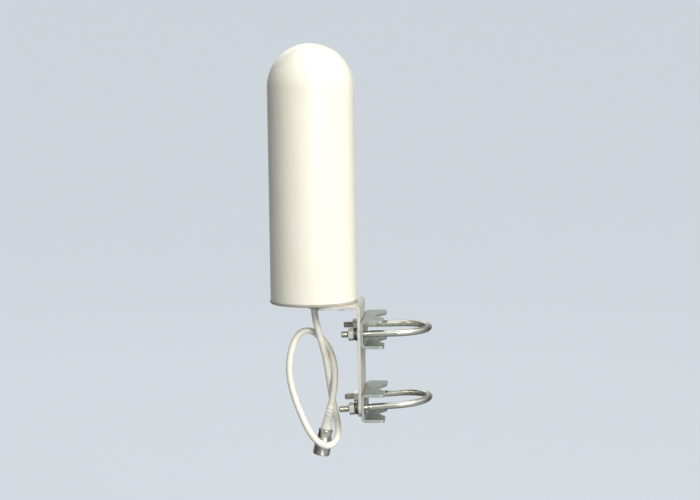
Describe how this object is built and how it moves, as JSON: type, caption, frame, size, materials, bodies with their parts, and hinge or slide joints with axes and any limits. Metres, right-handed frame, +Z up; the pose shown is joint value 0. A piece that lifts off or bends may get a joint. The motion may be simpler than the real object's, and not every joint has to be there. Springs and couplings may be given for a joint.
{
  "type": "pole-mount omnidirectional antenna",
  "caption": "Domed cylindrical radome on a bent sheet bracket with pole saddles and U-bolts, and a short looped coaxial pigtail ending in a threaded RF socket.",
  "frame": {"origin": "on the centreline of the 42.4 mm pole the saddles are set out for, half way between the two U-bolts", "axes": "+Z up along the pole and the radome, +X from the antenna towards the pole, -Y the side on which the connector hangs"},
  "size_m": [0.1453, 0.079, 0.3718],
  "materials": {
    "radome": "ivory white moulded plastic, satin gloss",
    "base_cap": "warm grey moulded plastic",
    "base_seal_ring": "black nitrile",
    "radome_screws": "stainless steel",
    "base_inserts": "knurled brass",
    "bracket": "zinc plated sheet steel",
    "bracket_bolts": "stainless steel",
    "cable_gland": "nickel plated brass",
    "gland_seal": "black rubber",
    "gland_locknut": "nickel plated brass",
    "feed_cable": "white PVC sheath",
    "radiator_stand": "natural ABS",
    "stand_screws": "stainless steel",
    "ground_sleeve": "drawn brass sheet",
    "radiator_screws": "stainless steel",
    "feed_insulator": "white PTFE",
    "feed_pin": "turned brass",
    "radiator_cone": "spun brass sheet",
    "top_spacer": "foamed polyethylene",
    "flat_washers": "zinc plated",
    "spring_washers": "dark spring steel",
    "upper_saddle": "galvanised pressed steel",
    "lower_saddle": "galvanised pressed steel",
    "upper_u_bolt": "bright zinc plated rod",
    "lower_u_bolt": "bright zinc plated rod",
    "upper_nut_front": "zinc plated",
    "upper_nut_rear": "zinc plated",
    "lower_nut_front": "zinc plated",
    "lower_nut_rear": "zinc plated",
    "pigtail_cable": "white PVC sheath",
    "connector_boot": "cream moulded boot",
    "crimp_ferrule": "nickel plated brass",
    "connector_rear_nut": "nickel plated brass",
    "connector_body": "nickel plated brass",
    "connector_insulator": "white PTFE",
    "connector_contact": "gold plated"
  },
  "bodies": {
    "antenna": {"radome": "radome", "base_cap": "base_cap", "base_seal_ring": "base_seal_ring", "radome_screws": "radome_screws", "base_inserts": "base_inserts", "bracket": "bracket", "bracket_bolts": "bracket_bolts", "cable_gland": "cable_gland", "gland_seal": "gland_seal", "gland_locknut": "gland_locknut", "feed_cable": "feed_cable", "radiator_stand": "radiator_stand", "stand_screws": "stand_screws", "ground_sleeve": "ground_sleeve", "radiator_screws": "radiator_screws", "feed_insulator": "feed_insulator", "feed_pin": "feed_pin", "radiator_cone": "radiator_cone", "top_spacer": "top_spacer", "flat_washers": "flat_washers", "spring_washers": "spring_washers"},
    "upper_saddle": {"upper_saddle": "upper_saddle"},
    "lower_saddle": {"lower_saddle": "lower_saddle"},
    "upper_u_bolt": {"upper_u_bolt": "upper_u_bolt"},
    "lower_u_bolt": {"lower_u_bolt": "lower_u_bolt"},
    "upper_nut_front": {"upper_nut_front": "upper_nut_front"},
    "upper_nut_rear": {"upper_nut_rear": "upper_nut_rear"},
    "lower_nut_front": {"lower_nut_front": "lower_nut_front"},
    "lower_nut_rear": {"lower_nut_rear": "lower_nut_rear"},
    "pigtail": {"pigtail_cable": "pigtail_cable", "connector_boot": "connector_boot", "crimp_ferrule": "crimp_ferrule", "connector_rear_nut": "connector_rear_nut", "connector_body": "connector_body", "connector_insulator": "connector_insulator", "connector_contact": "connector_contact"}
  },
  "joints": [
    {"name": "upper_u_bolt_slide", "type": "slide", "parent": "antenna", "child": "upper_u_bolt", "axis": [0.9997, 0, 0.0253], "range_m": [-0.013, 0.006]},
    {"name": "upper_nut_front_spin", "type": "hinge", "parent": "antenna", "child": "upper_nut_front", "pos_m": [-0.04344, -0.029, 0.03279], "axis": [0.9997, 0, 0.0253], "range_deg": [-2164, 4684]},
    {"name": "upper_nut_rear_spin", "type": "hinge", "parent": "antenna", "child": "upper_nut_rear", "pos_m": [-0.04344, 0.029, 0.03279], "axis": [0.9997, 0, 0.0253], "range_deg": [-2164, 4684]},
    {"name": "upper_saddle_slide", "type": "slide", "parent": "antenna", "child": "upper_saddle", "axis": [0.9997, 0, 0.0253], "range_m": [0, 0.012]},
    {"name": "lower_u_bolt_slide", "type": "slide", "parent": "antenna", "child": "lower_u_bolt", "axis": [0.9973, 0, 0.0732], "range_m": [-0.013, 0.006]},
    {"name": "lower_nut_front_spin", "type": "hinge", "parent": "antenna", "child": "lower_nut_front", "pos_m": [-0.04368, -0.029, -0.03362], "axis": [0.9973, 0, 0.0732], "range_deg": [-2164, 4684]},
    {"name": "lower_nut_rear_spin", "type": "hinge", "parent": "antenna", "child": "lower_nut_rear", "pos_m": [-0.04368, 0.029, -0.03362], "axis": [0.9973, 0, 0.0732], "range_deg": [-2164, 4684]},
    {"name": "lower_saddle_slide", "type": "slide", "parent": "antenna", "child": "lower_saddle", "axis": [0.9973, 0, 0.0732], "range_m": [0, 0.012]},
    {"name": "pigtail_swing", "type": "hinge", "parent": "antenna", "child": "pigtail", "pos_m": [-0.0786, 0, 0.054], "axis": [1, 0, 0], "range_deg": [-10, 10], "stiffness_Nm_per_rad": 0.05}
  ],
  "couplings": [
    {"joint": "upper_nut_front_spin", "follows": "upper_u_bolt_slide", "rad_per_m": -6283.2},
    {"joint": "upper_nut_rear_spin", "follows": "upper_u_bolt_slide", "rad_per_m": -6283.2},
    {"joint": "lower_nut_front_spin", "follows": "lower_u_bolt_slide", "rad_per_m": -6283.2},
    {"joint": "lower_nut_rear_spin", "follows": "lower_u_bolt_slide", "rad_per_m": -6283.2}
  ]
}
